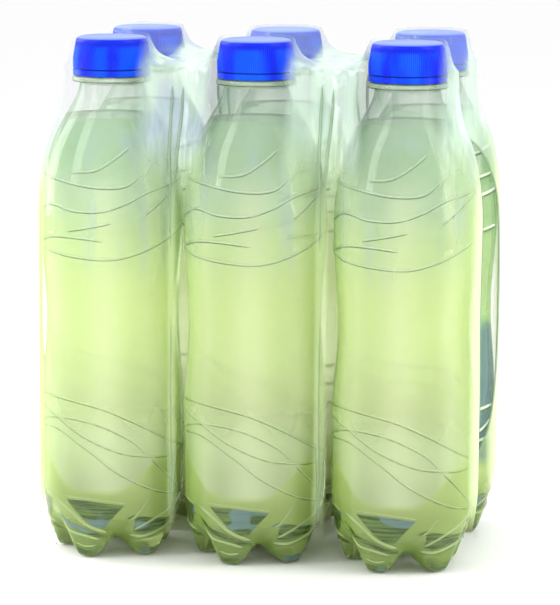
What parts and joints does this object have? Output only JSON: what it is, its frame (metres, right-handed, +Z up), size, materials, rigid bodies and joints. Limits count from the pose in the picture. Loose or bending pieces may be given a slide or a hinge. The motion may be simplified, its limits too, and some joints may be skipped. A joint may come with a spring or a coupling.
{
  "type": "bottled water multipack",
  "caption": "Shrink-wrapped block of small clear water bottles standing upright in two rows, with blue screw caps, five-footed bases and a clear film sleeve open in an oval at each short end",
  "frame": {"origin": "centre of the flat underside that the pack stands on", "axes": "+Z up along the bottles, X along the two rows of three bottles, +Y from the front row to the back row"},
  "size_m": [0.1744, 0.1154, 0.2031],
  "materials": {
    "clear_bottle": "clear blown plastic with a faint green tint, glossy",
    "water": "still water seen through the tinted wall, pale yellow-green",
    "blue_cap": "moulded ultramarine plastic with fine ribs, satin gloss",
    "clear_film": "thin clear shrink film, glossy, with fine pleats"
  },
  "bodies": {
    "root": {"bottle_1": "clear_bottle", "bottle_2": "clear_bottle", "bottle_3": "clear_bottle", "bottle_4": "clear_bottle", "bottle_5": "clear_bottle", "bottle_6": "clear_bottle", "water_1": "water", "water_2": "water", "water_3": "water", "water_4": "water", "water_5": "water", "water_6": "water", "cap_1": "blue_cap", "cap_2": "blue_cap", "cap_3": "blue_cap", "cap_4": "blue_cap", "cap_5": "blue_cap", "cap_6": "blue_cap", "film": "clear_film"}
  },
  "joints": []
}
